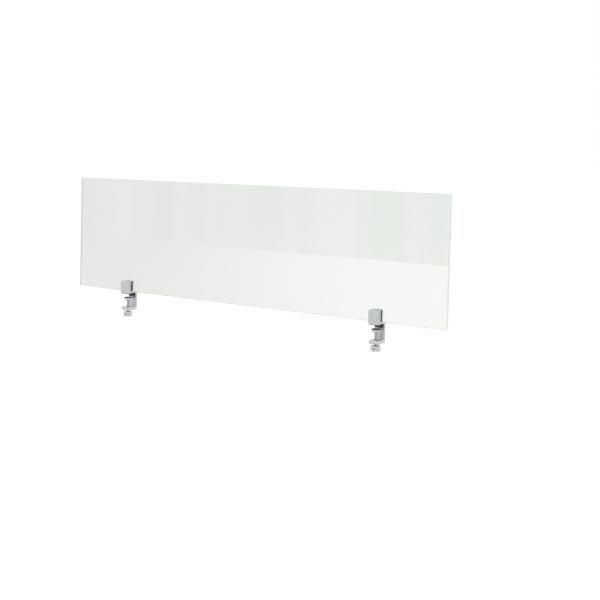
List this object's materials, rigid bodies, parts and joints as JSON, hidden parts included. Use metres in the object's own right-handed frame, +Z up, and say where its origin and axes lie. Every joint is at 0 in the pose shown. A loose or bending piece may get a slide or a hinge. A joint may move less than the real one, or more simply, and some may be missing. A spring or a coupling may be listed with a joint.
{
  "type": "desk privacy panel",
  "caption": "Frameless rectangular glass desk screen held upright by satin metal block clamps that hook over the rear edge of a desk top.",
  "frame": {"origin": "on the desk's rear top edge, half way between the two clamps; Z 0 is the top of the desk and Y 0 its rear edge", "axes": "+X along the panel to the user's right, +Y away from the user, +Z up"},
  "size_m": [1.219, 0.0433, 0.4095],
  "materials": {
    "glass": "tempered pale glass, polished faces and edges",
    "satin_aluminium": "brushed satin, clear anodised",
    "knob_aluminium": "turned and knurled",
    "zinc_steel": "bright zinc plated",
    "dark_steel": "black oxide",
    "black_rubber": "matt moulded"
  },
  "bodies": {
    "panel": {"glass_panel": "glass", "left_clamp_frame": "satin_aluminium", "left_cover": "satin_aluminium", "left_rear_gasket": "black_rubber", "left_setting_block": "black_rubber", "left_desk_pad": "black_rubber", "left_edge_pad": "black_rubber", "right_clamp_frame": "satin_aluminium", "right_cover": "satin_aluminium", "right_rear_gasket": "black_rubber", "right_setting_block": "black_rubber", "right_desk_pad": "black_rubber", "right_edge_pad": "black_rubber"},
    "left_plate": {"left_pressure_plate": "satin_aluminium", "left_front_gasket": "black_rubber"},
    "left_grip": {"left_grip_screw": "dark_steel"},
    "left_foot": {"left_swivel_foot": "zinc_steel", "left_foot_pad": "black_rubber"},
    "left_screw": {"left_clamp_screw": "zinc_steel", "left_foot_clip": "dark_steel", "left_knob": "knob_aluminium", "left_knob_grub": "dark_steel"},
    "right_plate": {"right_pressure_plate": "satin_aluminium", "right_front_gasket": "black_rubber"},
    "right_grip": {"right_grip_screw": "dark_steel"},
    "right_foot": {"right_swivel_foot": "zinc_steel", "right_foot_pad": "black_rubber"},
    "right_screw": {"right_clamp_screw": "zinc_steel", "right_foot_clip": "dark_steel", "right_knob": "knob_aluminium", "right_knob_grub": "dark_steel"}
  },
  "joints": [
    {"name": "left_plate_slide", "type": "slide", "parent": "panel", "child": "left_plate", "axis": [0, -1, 0], "range_m": [0, 0.0015]},
    {"name": "left_grip_turn", "type": "hinge", "parent": "left_plate", "child": "left_grip", "pos_m": [-0.4155, 0, 0.0215], "axis": [0, -1, 0], "range_deg": [-1, 541]},
    {"name": "left_foot_slide", "type": "slide", "parent": "panel", "child": "left_foot", "axis": [0, 0, 1], "range_m": [-0.021, 0.004]},
    {"name": "left_screw_turn", "type": "hinge", "parent": "left_foot", "child": "left_screw", "pos_m": [-0.4155, -0.0165, 0], "axis": [0, 0, 1], "range_deg": [-6050, 1154]},
    {"name": "right_plate_slide", "type": "slide", "parent": "panel", "child": "right_plate", "axis": [0, -1, 0], "range_m": [0, 0.0015]},
    {"name": "right_grip_turn", "type": "hinge", "parent": "right_plate", "child": "right_grip", "pos_m": [0.4155, 0, 0.0215], "axis": [0, -1, 0], "range_deg": [-1, 541]},
    {"name": "right_foot_slide", "type": "slide", "parent": "panel", "child": "right_foot", "axis": [0, 0, 1], "range_m": [-0.021, 0.004]},
    {"name": "right_screw_turn", "type": "hinge", "parent": "right_foot", "child": "right_screw", "pos_m": [0.4155, -0.0165, 0], "axis": [0, 0, 1], "range_deg": [-6050, 1154]}
  ],
  "couplings": [
    {"joint": "left_grip_turn", "follows": "left_plate_slide", "rad_per_m": 6283.2},
    {"joint": "left_screw_turn", "follows": "left_foot_slide", "rad_per_m": 5026.5},
    {"joint": "right_grip_turn", "follows": "right_plate_slide", "rad_per_m": 6283.2},
    {"joint": "right_screw_turn", "follows": "right_foot_slide", "rad_per_m": 5026.5}
  ]
}
